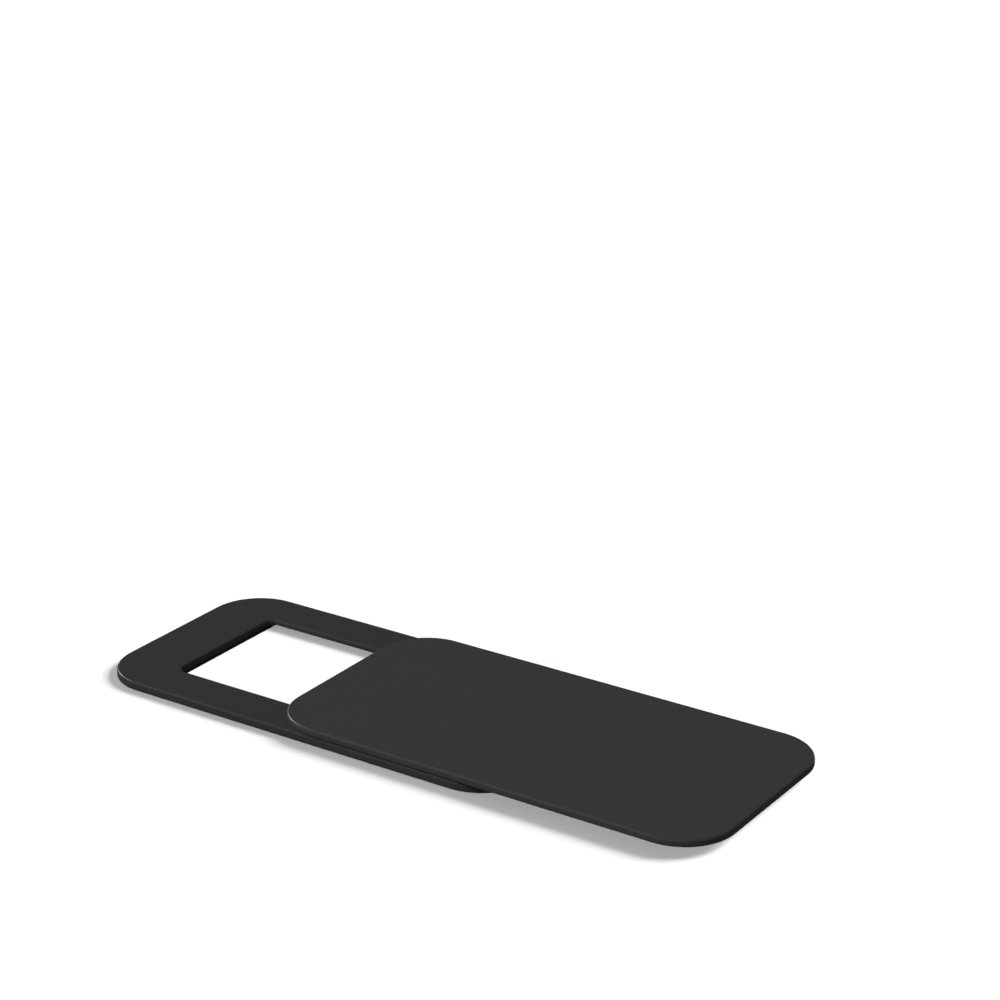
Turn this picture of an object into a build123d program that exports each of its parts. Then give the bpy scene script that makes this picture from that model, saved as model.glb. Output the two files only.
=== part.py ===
"""Webcam cover slider: a stick-on metal frame with a flat cover that slides over its camera window.

Millimetres. The mounting surface is the plane Z = 0, +Z points away from it, and +X is the way the
cover opens. The origin is the centre of the open camera window. The cover is drawn slid fully open.
"""

import os

from build123d import *

# Outline that the frame and the cover share
plate_length = 18.0
plate_width = 9.2
plate_corner_radius = 2.0
edge_radius = 0.09
lower_edge_radius = 0.04

# Sheet gauges, and the seam between the two plates
base_thickness = 0.32
cover_thickness = 0.27
running_gap = 0.03

# The frame's bars round the long opening that is camera window and slide track in one
end_bar = 2.5
side_bar = 1.81
opening_corner_radius = 0.3

# Rebate etched part way up from below, round the opening: the guide shoe's lips run in it along the long bars
rebate_width = 0.6
rebate_end_relief = 0.08
rebate_depth = 0.13

# Guide shoe: its neck fills the opening from side to side and meets the opening's ends as stops
neck_length = 4.9
neck_side_gap = 0.04
stop_gap = 0.05
lip_overlap = 0.45
lip_end_setback = 0.4
lip_gap = 0.03
surface_gap = 0.04

# Adhesive pad on the frame's back
pad_thickness = 0.05
pad_inset = 0.25
pad_relief = 0.1

opening_length = plate_length - 2 * end_bar
opening_width = plate_width - 2 * side_bar
rebate_span = opening_width + 2 * rebate_width
rebate_length = opening_length + 2 * rebate_end_relief
travel = opening_length - neck_length - 2 * stop_gap
window_length = travel - end_bar

# Places along X, with the window's centre at zero
base_centre_x = plate_length / 2 - end_bar - window_length / 2
cover_centre_x = base_centre_x + travel
shoe_centre_x = base_centre_x + travel / 2

# Heights above the mounting surface
base_bottom = pad_thickness
base_top = base_bottom + base_thickness
cover_bottom = base_top + running_gap
lip_bottom = surface_gap
lip_top = base_bottom + rebate_depth - lip_gap

os.makedirs("parts", exist_ok=True)

# Base frame: one sheet with the long opening, rebated from below
with BuildPart() as base_frame:
    with BuildSketch(Plane.XY.offset(base_bottom)):
        with Locations((base_centre_x, 0)):
            RectangleRounded(plate_length, plate_width, plate_corner_radius)
            RectangleRounded(opening_length, opening_width, opening_corner_radius, mode=Mode.SUBTRACT)
    extrude(amount=base_thickness)
    fillet(base_frame.faces().sort_by(Axis.Z)[-1].edges(), radius=edge_radius)
    fillet(base_frame.faces().sort_by(Axis.Z)[0].outer_wire().edges(), radius=lower_edge_radius)
    with BuildSketch(Plane.XY.offset(base_bottom)):
        with Locations((base_centre_x, 0)):
            RectangleRounded(rebate_length, rebate_span, opening_corner_radius)
    extrude(amount=rebate_depth, mode=Mode.SUBTRACT)
base_frame.part.label = "base_frame"
export_step(base_frame.part, "parts/base_frame.step")

# Adhesive pad: a die-cut frame, set in from the outline and cut clear of the lips' path
with BuildPart() as adhesive_pad:
    with BuildSketch():
        with Locations((base_centre_x, 0)):
            RectangleRounded(
                plate_length - 2 * pad_inset,
                plate_width - 2 * pad_inset,
                plate_corner_radius - pad_inset,
            )
            RectangleRounded(
                opening_length,
                rebate_span + 2 * pad_relief,
                opening_corner_radius,
                mode=Mode.SUBTRACT,
            )
    extrude(amount=pad_thickness)
adhesive_pad.part.label = "adhesive_pad"
export_step(adhesive_pad.part, "parts/adhesive_pad.step")

# Slide cover: a plain sheet of the same outline, with both rims rounded
with BuildPart() as slide_cover:
    with BuildSketch(Plane.XY.offset(cover_bottom)):
        with Locations((cover_centre_x, 0)):
            RectangleRounded(plate_length, plate_width, plate_corner_radius)
    extrude(amount=cover_thickness)
    fillet(slide_cover.faces().sort_by(Axis.Z)[-1].edges(), radius=edge_radius)
    fillet(slide_cover.faces().sort_by(Axis.Z)[0].edges(), radius=lower_edge_radius)
slide_cover.part.label = "slide_cover"
export_step(slide_cover.part, "parts/slide_cover.step")

# Guide shoe: a neck bonded under the cover, with a lip out to each side under the frame's long bars
with BuildPart() as guide_shoe:
    with BuildSketch(Plane.XY.offset(lip_bottom)):
        with Locations((shoe_centre_x, 0)):
            RectangleRounded(
                neck_length - 2 * lip_end_setback,
                opening_width + 2 * lip_overlap,
                opening_corner_radius,
            )
    extrude(amount=lip_top - lip_bottom)
    with BuildSketch(Plane.XY.offset(lip_top)):
        with Locations((shoe_centre_x, 0)):
            RectangleRounded(neck_length, opening_width - 2 * neck_side_gap, opening_corner_radius)
    extrude(amount=cover_bottom - lip_top)
guide_shoe.part.label = "guide_shoe"
export_step(guide_shoe.part, "parts/guide_shoe.step")
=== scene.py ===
"""Looks of a webcam cover slider: two coated plates, the shoe that joins them and the adhesive on the back.

Metres, in the frame's own axes: +X is the way the cover opens, and +Z points away from the surface that the
frame sticks to, which is the floor here.
"""

from math import pi, radians

import bmesh
import bpy
from mathutils import Matrix, Vector


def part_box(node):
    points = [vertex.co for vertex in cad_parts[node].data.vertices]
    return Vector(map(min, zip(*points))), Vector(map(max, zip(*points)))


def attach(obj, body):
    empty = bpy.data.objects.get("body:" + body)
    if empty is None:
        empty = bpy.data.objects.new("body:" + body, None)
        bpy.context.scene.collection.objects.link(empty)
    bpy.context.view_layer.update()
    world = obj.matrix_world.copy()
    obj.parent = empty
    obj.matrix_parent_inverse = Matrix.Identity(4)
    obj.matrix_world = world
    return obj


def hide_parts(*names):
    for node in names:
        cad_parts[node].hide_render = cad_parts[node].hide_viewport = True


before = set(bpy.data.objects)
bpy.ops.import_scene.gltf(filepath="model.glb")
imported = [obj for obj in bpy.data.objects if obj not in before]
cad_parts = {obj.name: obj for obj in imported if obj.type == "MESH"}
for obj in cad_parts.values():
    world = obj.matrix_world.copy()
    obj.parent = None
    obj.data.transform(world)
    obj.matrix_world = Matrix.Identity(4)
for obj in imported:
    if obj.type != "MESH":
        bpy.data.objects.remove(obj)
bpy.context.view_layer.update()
MM = 0.001

# Sizes that the frame's boxes don't tell
PLATE_CORNER_RADIUS = 2.0 * MM
UPPER_EDGE_RADIUS = 0.09 * MM
LOWER_EDGE_RADIUS = 0.04 * MM
END_BAR = 2.5 * MM
SIDE_BAR = 1.81 * MM
WINDOW_CORNER_RADIUS = 0.3 * MM
REBATE_WIDTH = 0.6 * MM
REBATE_END_RELIEF = 0.08 * MM
REBATE_DEPTH = 0.13 * MM

# How the plates' meshes follow their curves: each edge has a narrow border that keeps the flat faces flat
CORNER_STEPS = 24
EDGE_STEPS = 7
EDGE_BORDER = 0.03 * MM
WELD_DISTANCE = 0.005 * MM
SHARP_ANGLE = radians(40)

# How level a rubbed face lies, from 0 for a wall to 1 for a flat face, and how far from that it may be
RUBBED_LEVELNESS = 0.739
RUBBED_SPREAD = 0.188

# The coat: its colour on each plate, and its finish on flat sheet and on the rims
COVER_BLACK = "#353837"
FRAME_BLACK = "#323232"
MATTE = {"roughness_range": (0.82, 0.90), "specular_level": 0.03, "relief": 0.3}
RUBBED = {"roughness_range": (0.24, 0.26), "specular_level": 0.22, "relief": 0.03}

# The photograph's camera, with its lens and sensor width in Blender's own millimetres
CAMERA_PLACE = Vector((58.410, -73.526, 43.300)) * MM
CAMERA_HEADING = radians(33.505)
CAMERA_DOWN = radians(21.282)
CAMERA_ROLL = radians(0.2515)
CAMERA_LENS = 98.728
CAMERA_SENSOR = 36.0
CAMERA_NEAREST = 1.0 * MM
CAMERA_FARTHEST = 9000.0 * MM

# How far the floor reaches to each side, and how far off the lamps stand
FLOOR_REACH = 1200.0 * MM
LAMP_DISTANCE = 1500.0 * MM

# Kinds of value that a tree's inputs take
FLOAT = "NodeSocketFloat"
INTEGER = "NodeSocketInt"
PLACE = "NodeSocketVector"
GEOMETRY = "NodeSocketGeometry"
MATERIAL = "NodeSocketMaterial"

# Sockets of a Mix node that mixes colours
MIX_FACTOR = 0
MIX_FIRST = 6
MIX_SECOND = 7
MIX_RESULT = 2

# Values that nearly all of a noise texture lies between
NOISE_LOW = 0.3
NOISE_HIGH = 0.7


def linear(hex_colour):
    """Linear RGBA of an sRGB colour written as #rrggbb."""
    parts = [int(hex_colour[i:i + 2], 16) / 255 for i in (1, 3, 5)]
    return [c / 12.92 if c <= 0.04045 else ((c + 0.055) / 1.055) ** 2.4 for c in parts] + [1.0]


def add(tree, kind, inputs=None, **settings):
    """One node with its settings. An input is a value, a socket to link from, or a list of such sockets."""
    node = tree.nodes.new(kind)
    for name, value in settings.items():
        setattr(node, name, value)
    for key, value in (inputs or {}).items():
        sources = value if isinstance(value, list) and isinstance(value[0], bpy.types.NodeSocket) else [value]
        for source in sources:
            if isinstance(source, bpy.types.NodeSocket):
                tree.links.new(source, node.inputs[key])
            else:
                node.inputs[key].default_value = source
    return node


# Geometry Nodes trees of the plates


def new_tree(name, inputs):
    """A tree with named inputs and one geometry output, and the sockets that bring the inputs in."""
    tree = bpy.data.node_groups.new(name, "GeometryNodeTree")
    for label, kind in inputs.items():
        tree.interface.new_socket(label, in_out="INPUT", socket_type=kind)
    tree.interface.new_socket("Geometry", in_out="OUTPUT", socket_type=GEOMETRY)
    return tree, tree.nodes.new("NodeGroupInput").outputs


def rounded_outline_tree():
    """Closed curve of a rectangle with round corners, drawn in from its full size by the inset."""
    sizes = {"Length": FLOAT, "Width": FLOAT, "Corner Radius": FLOAT, "Inset": FLOAT, "Corner Steps": INTEGER}
    tree, given = new_tree("rounded_outline", sizes)
    both_sides = add(tree, "ShaderNodeMath", {0: given["Inset"], 1: 2.0}, operation="MULTIPLY").outputs[0]
    length = add(tree, "ShaderNodeMath", {0: given["Length"], 1: both_sides}, operation="SUBTRACT").outputs[0]
    width = add(tree, "ShaderNodeMath", {0: given["Width"], 1: both_sides}, operation="SUBTRACT").outputs[0]
    radius = add(tree, "ShaderNodeMath", {0: given["Corner Radius"], 1: given["Inset"]}, operation="SUBTRACT")
    sides = add(tree, "GeometryNodeCurvePrimitiveQuadrilateral", {"Width": length, "Height": width})
    corners = {"Curve": sides.outputs[0], "Count": given["Corner Steps"], "Radius": radius.outputs[0]}
    rounded = add(tree, "GeometryNodeFilletCurve", corners, mode="POLY")
    upright = add(tree, "GeometryNodeSetCurveNormal", {"Curve": rounded.outputs[0]}, mode="Z_UP")
    add(tree, "NodeGroupOutput", {"Geometry": upright.outputs[0]})
    return tree


def rounded_edge_tree():
    """A sheet's edge swept round an outline: a border of the upper face, the wall, and one of the lower face.

    Side is 1 where the sheet lies outside the outline, as round a window, and -1 where it lies inside.
    """
    sizes = {"Outline": GEOMETRY, "Side": FLOAT, "Thickness": FLOAT, "Edge Steps": INTEGER}
    sizes |= {"Upper Radius": FLOAT, "Lower Radius": FLOAT, "Upper Border": FLOAT, "Lower Border": FLOAT}
    tree, given = new_tree("rounded_edge", sizes)
    upper_x = add(tree, "ShaderNodeMath", {0: given["Upper Border"], 1: given["Side"]}, operation="MULTIPLY")
    lower_x = add(tree, "ShaderNodeMath", {0: given["Lower Border"], 1: given["Side"]}, operation="MULTIPLY")
    # The section's Y axis points down once it stands on the outline
    upper_face = add(tree, "ShaderNodeCombineXYZ", {"X": upper_x.outputs[0]}).outputs[0]
    lower_edge = add(tree, "ShaderNodeCombineXYZ", {"Y": given["Thickness"]}).outputs[0]
    below = {"X": lower_x.outputs[0], "Y": given["Thickness"]}
    lower_face = add(tree, "ShaderNodeCombineXYZ", below).outputs[0]
    points = {"Point 1": upper_face, "Point 2": (0, 0, 0), "Point 3": lower_edge, "Point 4": lower_face}
    section = add(tree, "GeometryNodeCurvePrimitiveQuadrilateral", points, mode="POINTS")
    opened = add(tree, "GeometryNodeSetSplineCyclic", {"Geometry": section.outputs[0], "Cyclic": False})
    corner = add(tree, "GeometryNodeInputIndex")
    radius = add(tree, "GeometryNodeIndexSwitch", {"Index": corner.outputs[0]}, data_type="FLOAT")
    radius.index_switch_items.new()
    tree.links.new(given["Upper Radius"], radius.inputs["1"])
    tree.links.new(given["Lower Radius"], radius.inputs["2"])
    corners = {"Curve": opened.outputs[0], "Count": given["Edge Steps"], "Radius": radius.outputs[0]}
    rounded = add(tree, "GeometryNodeFilletCurve", corners, mode="POLY")
    sweep = {"Curve": given["Outline"], "Profile Curve": rounded.outputs[0]}
    swept = add(tree, "GeometryNodeCurveToMesh", sweep)
    add(tree, "NodeGroupOutput", {"Geometry": swept.outputs[0]})
    return tree


def flat_face(tree, outlines, depth):
    """Flat face inside the first outline and outside the second, at a depth under the plate's upper face."""
    joined = add(tree, "GeometryNodeJoinGeometry", {"Geometry": outlines})
    filled = add(tree, "GeometryNodeFillCurve", {"Curve": joined.outputs[0]})
    down = add(tree, "ShaderNodeMath", {0: depth, 1: -1.0}, operation="MULTIPLY")
    offset = add(tree, "ShaderNodeCombineXYZ", {"Z": down.outputs[0]})
    move = {"Geometry": filled.outputs[0], "Translation": offset.outputs[0]}
    return add(tree, "GeometryNodeTransform", move).outputs[0]


def plate_tree(name, outline_tree, edge_tree, has_window):
    """A thin plate with round corners and rounded edges.

    A window through it has a rebate round it in the lower face, which leaves a thinner ledge.
    """
    sizes = {"Length": FLOAT, "Width": FLOAT, "Corner Radius": FLOAT, "Thickness": FLOAT}
    sizes |= {"Upper Radius": FLOAT, "Lower Radius": FLOAT, "Upper Border": FLOAT, "Lower Border": FLOAT}
    sizes |= {"Corner Steps": INTEGER, "Edge Steps": INTEGER, "Weld Distance": FLOAT}
    sizes |= {"Upper Face Centre": PLACE, "Material": MATERIAL, "Rim Material": MATERIAL}
    if has_window:
        sizes |= {"Window Length": FLOAT, "Window Width": FLOAT, "Window Corner Radius": FLOAT}
        sizes |= {"Ledge Thickness": FLOAT, "Ledge Border": FLOAT}
        sizes |= {"Rebate Length": FLOAT, "Rebate Width": FLOAT}
    tree, given = new_tree(name, sizes)

    rim = {label: given[label] for label in ("Length", "Width", "Corner Radius", "Corner Steps")}
    edge = {label: given[label] for label in ("Upper Radius", "Upper Border", "Edge Steps")}
    outside = add(tree, "GeometryNodeGroup", rim, node_tree=outline_tree).outputs[0]
    outer_edge = edge | {label: given[label] for label in ("Thickness", "Lower Radius", "Lower Border")}
    outer_edge |= {"Outline": outside, "Side": -1.0}
    pieces = [add(tree, "GeometryNodeGroup", outer_edge, node_tree=edge_tree).outputs[0]]
    upper_rim = rim | {"Inset": given["Upper Border"]}
    lower_rim = rim | {"Inset": given["Lower Border"]}
    upper = [add(tree, "GeometryNodeGroup", upper_rim, node_tree=outline_tree).outputs[0]]
    lower = [add(tree, "GeometryNodeGroup", lower_rim, node_tree=outline_tree).outputs[0]]

    if has_window:
        hole = {"Length": given["Window Length"], "Width": given["Window Width"]}
        hole |= {"Corner Radius": given["Window Corner Radius"], "Corner Steps": given["Corner Steps"]}
        pocket = hole | {"Length": given["Rebate Length"], "Width": given["Rebate Width"]}
        window = add(tree, "GeometryNodeGroup", hole, node_tree=outline_tree).outputs[0]
        rebate = add(tree, "GeometryNodeGroup", pocket, node_tree=outline_tree).outputs[0]
        inner_edge = edge | {"Outline": window, "Side": 1.0, "Thickness": given["Ledge Thickness"]}
        inner_edge |= {"Lower Border": given["Ledge Border"]}
        pieces.append(add(tree, "GeometryNodeGroup", inner_edge, node_tree=edge_tree).outputs[0])

        outwards = add(tree, "ShaderNodeMath", {0: given["Upper Border"], 1: -1.0}, operation="MULTIPLY")
        upper_hole = hole | {"Inset": outwards.outputs[0]}
        upper.append(add(tree, "GeometryNodeGroup", upper_hole, node_tree=outline_tree).outputs[0])
        outwards = add(tree, "ShaderNodeMath", {0: given["Ledge Border"], 1: -1.0}, operation="MULTIPLY")
        ledge_hole = hole | {"Inset": outwards.outputs[0]}
        ledge = add(tree, "GeometryNodeGroup", ledge_hole, node_tree=outline_tree).outputs[0]
        pieces.append(flat_face(tree, [rebate, ledge], given["Ledge Thickness"]))

        # The rebate's wall stands between the ledge and the lower face
        start = add(tree, "ShaderNodeCombineXYZ", {"Y": given["Ledge Thickness"]}).outputs[0]
        end = add(tree, "ShaderNodeCombineXYZ", {"Y": given["Thickness"]}).outputs[0]
        upright = add(tree, "GeometryNodeCurvePrimitiveLine", {"Start": start, "End": end}).outputs[0]
        wall = {"Curve": rebate, "Profile Curve": upright}
        pieces.append(add(tree, "GeometryNodeCurveToMesh", wall).outputs[0])
        lower.append(rebate)

    pieces.append(flat_face(tree, upper, 0.0))
    pieces.append(flat_face(tree, lower, given["Thickness"]))
    joined = add(tree, "GeometryNodeJoinGeometry", {"Geometry": pieces}).outputs[0]
    weld = {"Geometry": joined, "Distance": given["Weld Distance"]}
    welded = add(tree, "GeometryNodeMergeByDistance", weld).outputs[0]
    move = {"Geometry": welded, "Translation": given["Upper Face Centre"]}
    placed = add(tree, "GeometryNodeTransform", move).outputs[0]
    realized = add(tree, "GeometryNodeRealizeInstances", {"Geometry": placed}).outputs[0]
    coated = {"Geometry": realized, "Material": given["Material"]}
    plate = add(tree, "GeometryNodeSetMaterial", coated).outputs[0]
    # Only the middle of each rounding is rubbed: faces neither level nor steep
    facing = add(tree, "GeometryNodeInputNormal").outputs[0]
    height = add(tree, "ShaderNodeSeparateXYZ", {"Vector": facing}).outputs["Z"]
    levelness = add(tree, "ShaderNodeMath", {0: height}, operation="ABSOLUTE").outputs[0]
    between = {0: levelness, 1: RUBBED_LEVELNESS, 2: RUBBED_SPREAD}
    rubbed = add(tree, "ShaderNodeMath", between, operation="COMPARE").outputs[0]
    finish = {"Geometry": plate, "Selection": rubbed, "Material": given["Rim Material"]}
    add(tree, "NodeGroupOutput", {"Geometry": add(tree, "GeometryNodeSetMaterial", finish).outputs[0]})
    return tree


def grown_piece(name, tree, sizes):
    """The plain mesh that a tree gives for these sizes, with its faces turned outwards, as an object."""
    seed = bpy.data.objects.new(name + "_seed", bpy.data.meshes.new(name + "_seed"))
    bpy.context.scene.collection.objects.link(seed)
    modifier = seed.modifiers.new("grow", "NODES")
    modifier.node_group = tree
    for socket in tree.interface.items_tree:
        if socket.in_out == "INPUT":
            modifier[socket.identifier] = sizes[socket.name]
    grown = seed.evaluated_get(bpy.context.evaluated_depsgraph_get())
    mesh = bpy.data.meshes.new_from_object(grown)
    # The seed's own slot comes first and stays empty
    mesh.materials.pop(index=0)
    seed.modifiers.remove(modifier)
    bpy.data.objects.remove(seed)

    shell = bmesh.new()
    shell.from_mesh(mesh)
    bmesh.ops.recalc_face_normals(shell, faces=shell.faces)
    shell.to_mesh(mesh)
    shell.free()
    mesh.shade_smooth()
    mesh.set_sharp_from_angle(angle=SHARP_ANGLE)
    mesh.name = name
    piece = bpy.data.objects.new(name, mesh)
    bpy.context.scene.collection.objects.link(piece)
    return piece


# Materials


def new_material(name):
    """A material and its empty tree."""
    material = bpy.data.materials.new(name)
    material.use_nodes = True
    material.node_tree.nodes.clear()
    return material, material.node_tree


def electrocoat(name, colour_hex, roughness_range, specular_level, relief):
    """Black electro-coat, dipped and baked on thin sheet.

    To the eye: an even matte black with next to no grain. On the rounded rims, where the coat flows thin and
    fingers rub it, it is smooth enough to catch a fine line of light.
    """
    orange_peel_width = 0.6 * MM
    orange_peel_depth = 0.002 * MM
    # Pigment grit is really about 0.01 mm and too fine to show, so it is drawn at 0.08 mm
    grit_width = 0.08 * MM
    grit_depth = 0.001 * MM
    speckle_contrast = 0.06
    smoothest, roughest = roughness_range
    material, tree = new_material(name)
    place = add(tree, "ShaderNodeTexCoord").outputs["Object"]
    fine = {"Vector": place, "Scale": 1 / grit_width, "Detail": 2.0}
    grit = add(tree, "ShaderNodeTexNoise", fine).outputs[0]
    coarse = {"Vector": place, "Scale": 1 / orange_peel_width, "Detail": 1.0}
    peel = add(tree, "ShaderNodeTexNoise", coarse).outputs[0]
    grit_range = {"Value": grit, "From Min": NOISE_LOW, "From Max": NOISE_HIGH}
    shade = grit_range | {"To Min": 1 - speckle_contrast, "To Max": 1 + speckle_contrast}
    speckle = {0: linear(colour_hex)[:3], "Scale": add(tree, "ShaderNodeMapRange", shade).outputs[0]}
    colour = add(tree, "ShaderNodeVectorMath", speckle, operation="SCALE").outputs[0]
    matte = grit_range | {"To Min": smoothest, "To Max": roughest}
    roughness = add(tree, "ShaderNodeMapRange", matte).outputs[0]
    waves = {"Height": peel, "Distance": orange_peel_depth, "Strength": relief}
    waved = add(tree, "ShaderNodeBump", waves).outputs[0]
    grains = {"Height": grit, "Distance": grit_depth, "Strength": relief, "Normal": waved}
    grained = add(tree, "ShaderNodeBump", grains).outputs[0]
    surface = {"Base Color": colour, "Roughness": roughness, "IOR": 1.5, "Specular IOR Level": specular_level}
    shader = add(tree, "ShaderNodeBsdfPrincipled", surface | {"Normal": grained})
    add(tree, "ShaderNodeOutputMaterial", {"Surface": shader.outputs[0]})
    return material


def blackened_steel():
    """Half-etched spring steel, blackened in a hot oxide bath.

    To the eye: blue-black, with a soft metal sheen over the fine pitting that the etchant leaves.
    """
    # Etch pits are really about 0.02 mm and are drawn at 0.12 mm to show
    pit_width = 0.12 * MM
    pit_depth = 0.004 * MM
    bloom_width = 1.5 * MM
    # The pits' pattern runs from 0 in a pit to about this on the ridges round it
    ridge = 0.8
    pit_roughness = 0.52
    ridge_roughness = 0.38
    material, tree = new_material("blackened_etched_steel")
    place = add(tree, "ShaderNodeTexCoord").outputs["Object"]
    pits = add(tree, "ShaderNodeTexVoronoi", {"Vector": place, "Scale": 1 / pit_width}).outputs["Distance"]
    clouds = {"Vector": place, "Scale": 1 / bloom_width, "Detail": 4.0}
    bloom = add(tree, "ShaderNodeTexNoise", clouds).outputs[0]
    tone = {MIX_FACTOR: bloom, MIX_FIRST: linear("#26272b"), MIX_SECOND: linear("#36373a")}
    colour = add(tree, "ShaderNodeMix", tone, data_type="RGBA").outputs[MIX_RESULT]
    matte = {"Value": pits, "From Max": ridge, "To Min": pit_roughness, "To Max": ridge_roughness}
    roughness = add(tree, "ShaderNodeMapRange", matte).outputs[0]
    etched = add(tree, "ShaderNodeBump", {"Height": pits, "Distance": pit_depth, "Strength": 0.5}).outputs[0]
    surface = {"Base Color": colour, "Metallic": 0.6, "Roughness": roughness, "Normal": etched}
    shader = add(tree, "ShaderNodeBsdfPrincipled", surface)
    add(tree, "ShaderNodeOutputMaterial", {"Surface": shader.outputs[0]})
    return material


def acrylic_film():
    """Die-cut black acrylic adhesive film.

    To the eye: a dull black, a little uneven from the pebbled print of its release paper.
    """
    pebble_width = 0.25 * MM
    pebble_depth = 0.006 * MM
    smoothest, roughest = 0.62, 0.74
    material, tree = new_material("black_acrylic_adhesive_film")
    place = add(tree, "ShaderNodeTexCoord").outputs["Object"]
    print_of_liner = {"Vector": place, "Scale": 1 / pebble_width, "Detail": 1.0}
    pebbles = add(tree, "ShaderNodeTexNoise", print_of_liner).outputs[0]
    tone = {MIX_FACTOR: pebbles, MIX_FIRST: linear("#161618"), MIX_SECOND: linear("#212123")}
    colour = add(tree, "ShaderNodeMix", tone, data_type="RGBA").outputs[MIX_RESULT]
    matte = {"Value": pebbles, "From Min": NOISE_LOW, "From Max": NOISE_HIGH}
    matte |= {"To Min": smoothest, "To Max": roughest}
    roughness = add(tree, "ShaderNodeMapRange", matte).outputs[0]
    relief = {"Height": pebbles, "Distance": pebble_depth, "Strength": 0.6}
    pebbled = add(tree, "ShaderNodeBump", relief).outputs[0]
    surface = {"Base Color": colour, "Roughness": roughness, "IOR": 1.25, "Normal": pebbled}
    shader = add(tree, "ShaderNodeBsdfPrincipled", surface)
    add(tree, "ShaderNodeOutputMaterial", {"Surface": shader.outputs[0]})
    return material


# The plates


def plate_sizes(node, material, rim_material):
    """What a plate's tree needs to know, from the box of the CAD node that the plate stands for."""
    low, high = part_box(node)
    size = high - low
    return {
        "Length": size.x,
        "Width": size.y,
        "Thickness": size.z,
        "Corner Radius": PLATE_CORNER_RADIUS,
        "Upper Radius": UPPER_EDGE_RADIUS,
        "Lower Radius": LOWER_EDGE_RADIUS,
        "Upper Border": UPPER_EDGE_RADIUS + EDGE_BORDER,
        "Lower Border": LOWER_EDGE_RADIUS + EDGE_BORDER,
        "Corner Steps": CORNER_STEPS,
        "Edge Steps": EDGE_STEPS,
        "Weld Distance": WELD_DISTANCE,
        "Upper Face Centre": ((low.x + high.x) / 2, (low.y + high.y) / 2, high.z),
        "Material": material,
        "Rim Material": rim_material,
    }


def window_sizes(sizes):
    """The frame's window, and the rebate under its ledge."""
    window_length = sizes["Length"] - 2 * END_BAR
    window_width = sizes["Width"] - 2 * SIDE_BAR
    return {
        "Window Length": window_length,
        "Window Width": window_width,
        "Window Corner Radius": WINDOW_CORNER_RADIUS,
        "Ledge Thickness": sizes["Thickness"] - REBATE_DEPTH,
        "Ledge Border": EDGE_BORDER,
        "Rebate Length": window_length + 2 * REBATE_END_RELIEF,
        "Rebate Width": window_width + 2 * REBATE_WIDTH,
    }


outline_tree = rounded_outline_tree()
edge_tree = rounded_edge_tree()

cover_coat = electrocoat("electrocoated_cover_sheet", COVER_BLACK, **MATTE)
cover_rim = electrocoat("electrocoated_cover_rim", COVER_BLACK, **RUBBED)
cover_sizes = plate_sizes("slide_cover", cover_coat, cover_rim)
plain_tree = plate_tree("plain_plate", outline_tree, edge_tree, has_window=False)
cover_plate = grown_piece("cover_plate", plain_tree, cover_sizes)
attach(cover_plate, "cover")
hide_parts("slide_cover")

frame_coat = electrocoat("electrocoated_frame_sheet", FRAME_BLACK, **MATTE)
frame_rim = electrocoat("electrocoated_frame_rim", FRAME_BLACK, **RUBBED)
frame_sizes = plate_sizes("base_frame", frame_coat, frame_rim)
frame_sizes |= window_sizes(frame_sizes)
window_tree = plate_tree("window_plate", outline_tree, edge_tree, has_window=True)
frame_plate = grown_piece("frame_plate", window_tree, frame_sizes)
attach(frame_plate, "base")
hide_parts("base_frame")

for node, finish in (("guide_shoe", blackened_steel()), ("adhesive_pad", acrylic_film())):
    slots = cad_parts[node].data.materials
    slots.clear()
    slots.append(finish)

# Floor, light and camera


def white_floor():
    """A wide, plain floor at the height that the frame sticks to.

    It looks white, also in reflections, but throws back less light than white would, so the edges stay dark.
    """
    material, tree = new_material("matte_floor")
    ray = add(tree, "ShaderNodeLightPath").outputs
    direct = {0: ray["Is Camera Ray"], 1: ray["Is Glossy Ray"]}
    mirrored = add(tree, "ShaderNodeMath", direct, operation="MAXIMUM").outputs[0]
    passed = {0: mirrored, 1: ray["Is Transmission Ray"]}
    seen = add(tree, "ShaderNodeMath", passed, operation="MAXIMUM").outputs[0]
    tone = {MIX_FACTOR: seen, MIX_FIRST: linear("#6a6a6a"), MIX_SECOND: linear("#ffffff")}
    colour = add(tree, "ShaderNodeMix", tone, data_type="RGBA").outputs[MIX_RESULT]
    paper = add(tree, "ShaderNodeBsdfDiffuse", {"Color": colour})
    add(tree, "ShaderNodeOutputMaterial", {"Surface": paper.outputs[0]})
    sheet = bmesh.new()
    bmesh.ops.create_grid(sheet, x_segments=1, y_segments=1, size=FLOOR_REACH)
    mesh = bpy.data.meshes.new("floor")
    sheet.to_mesh(mesh)
    sheet.free()
    mesh.materials.append(material)
    floor = bpy.data.objects.new("floor", mesh)
    bpy.context.scene.collection.objects.link(floor)
    return floor


def lit_by(name, floor, link_state):
    """What a lamp lights: the floor alone, or all but the floor."""
    group = bpy.data.collections.new(name)
    group.objects.link(floor)
    group.collection_objects[0].light_linking.link_state = link_state
    return group


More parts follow.
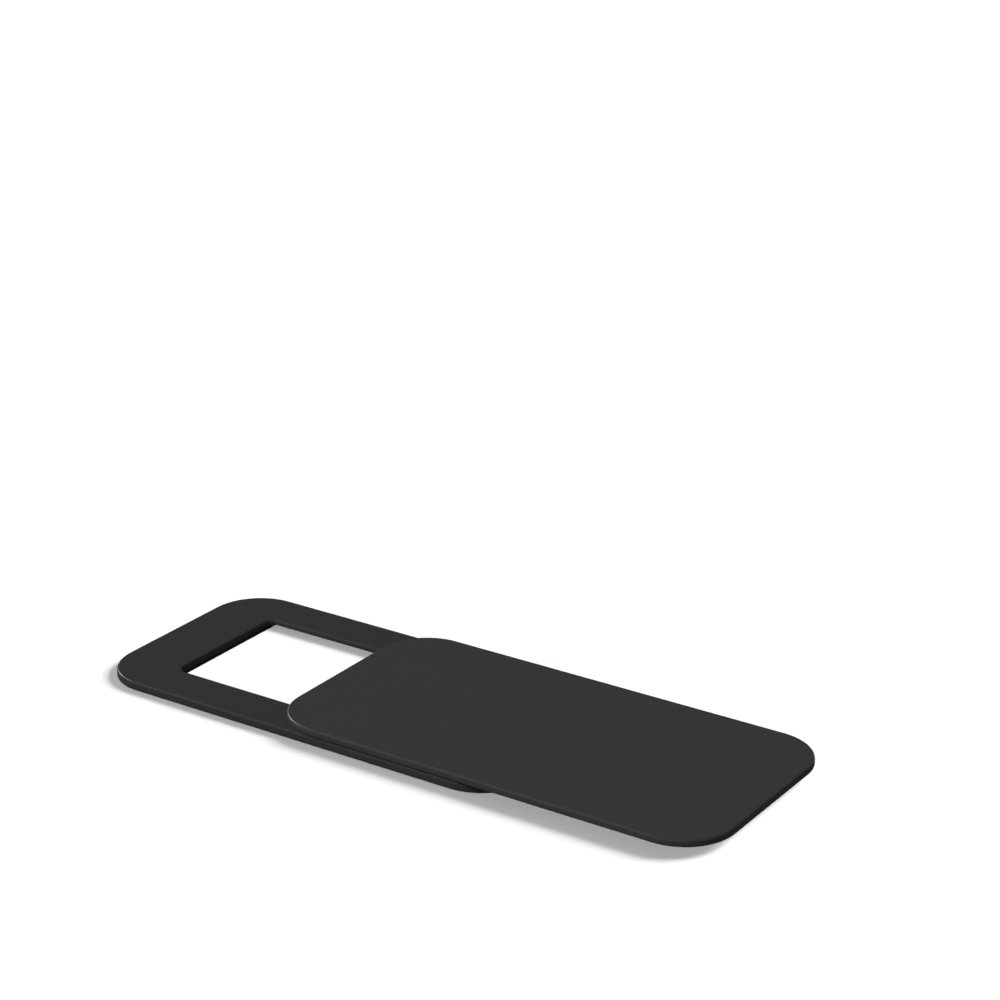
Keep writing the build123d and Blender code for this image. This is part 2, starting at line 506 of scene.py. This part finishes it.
def softbox(name, lit, direction, size, level, tint="#ffffff", casts_shadow=True, shades=True, mirrored=True):
    """A lamp that faces the object. At level 1 it alone shows a white surface that faces it as white.

    It lights only what is in lit. One that shades lights matte colour. One that is mirrored shows in gloss.
    """
    light = bpy.data.lights.new(name, "AREA")
    light.shape = "RECTANGLE"
    light.size = size[0]
    light.size_y = size[1]
    light.energy = level * pi ** 2 * LAMP_DISTANCE ** 2
    light.color = linear(tint)[:3]
    light.use_shadow = casts_shadow
    lamp = bpy.data.objects.new(name, light)
    towards = Vector(direction).normalized()
    lamp.location = towards * LAMP_DISTANCE
    lamp.rotation_euler = towards.to_track_quat("Z", "Y").to_euler()
    lamp.light_linking.receiver_collection = lit
    lamp.visible_diffuse = shades
    lamp.visible_glossy = mirrored
    bpy.context.scene.collection.objects.link(lamp)


def studio_sky():
    """White low down, as far up as a level view reaches, and dim above that, where the softboxes stand."""
    # Two heights on a sky of radius 1, and its strength above the second
    white_up_to = 0.18
    dim_from = 0.3
    dim_level = 0.06
    world = bpy.data.worlds.new("studio")
    world.use_nodes = True
    tree = world.node_tree
    tree.nodes.clear()
    direction = add(tree, "ShaderNodeTexCoord").outputs["Generated"]
    height = add(tree, "ShaderNodeSeparateXYZ", {"Vector": direction}).outputs["Z"]
    fall = {"Value": height, "From Min": white_up_to, "From Max": dim_from}
    fall |= {"To Min": 1.0, "To Max": dim_level}
    level = add(tree, "ShaderNodeMapRange", fall).outputs[0]
    sky = add(tree, "ShaderNodeBackground", {"Color": linear("#ffffff"), "Strength": level})
    add(tree, "ShaderNodeOutputWorld", {"Surface": sky.outputs[0]})
    bpy.context.scene.world = world


def photograph_camera():
    """The camera that sees the object as the photograph does."""
    camera = bpy.data.cameras.new("camera")
    camera.sensor_width = CAMERA_SENSOR
    camera.lens = CAMERA_LENS
    camera.clip_start = CAMERA_NEAREST
    camera.clip_end = CAMERA_FARTHEST
    viewer = bpy.data.objects.new("camera", camera)
    turn = Matrix.Rotation(CAMERA_HEADING, 4, "Z")
    tilt = Matrix.Rotation(pi / 2 - CAMERA_DOWN, 4, "X")
    roll = Matrix.Rotation(CAMERA_ROLL, 4, "Z")
    viewer.matrix_world = Matrix.Translation(CAMERA_PLACE) @ turn @ tilt @ roll
    bpy.context.scene.collection.objects.link(viewer)
    bpy.context.scene.camera = viewer


floor = white_floor()
on_floor = lit_by("floor_alone", floor, "INCLUDE")
on_object = lit_by("all_but_floor", floor, "EXCLUDE")
softbox("floor_key", on_floor, direction=(0.55, 0.58, 0.60), size=(0.7, 0.7), level=1.14)
softbox("floor_fill", on_floor, direction=(0.0, 0.0, 1.0), size=(0.6, 0.6), level=0.35, casts_shadow=False)
softbox("object_key", on_object, direction=(-0.45, -0.51, 0.73), size=(0.8, 0.8), level=1.17, mirrored=False)
softbox(
    "object_fill",
    on_object,
    direction=(0.85, -0.25, 0.46),
    size=(0.6, 0.6),
    level=0.085,
    tint="#ffe2c4",
    mirrored=False,
)
softbox(
    "object_strip",
    on_object,
    direction=(-0.85, 0.15, 0.50),
    size=(0.5, 1.0),
    level=0.60,
    tint="#e8f2ff",
    shades=False,
)
studio_sky()
photograph_camera()
bpy.context.scene.view_settings.view_transform = "Standard"
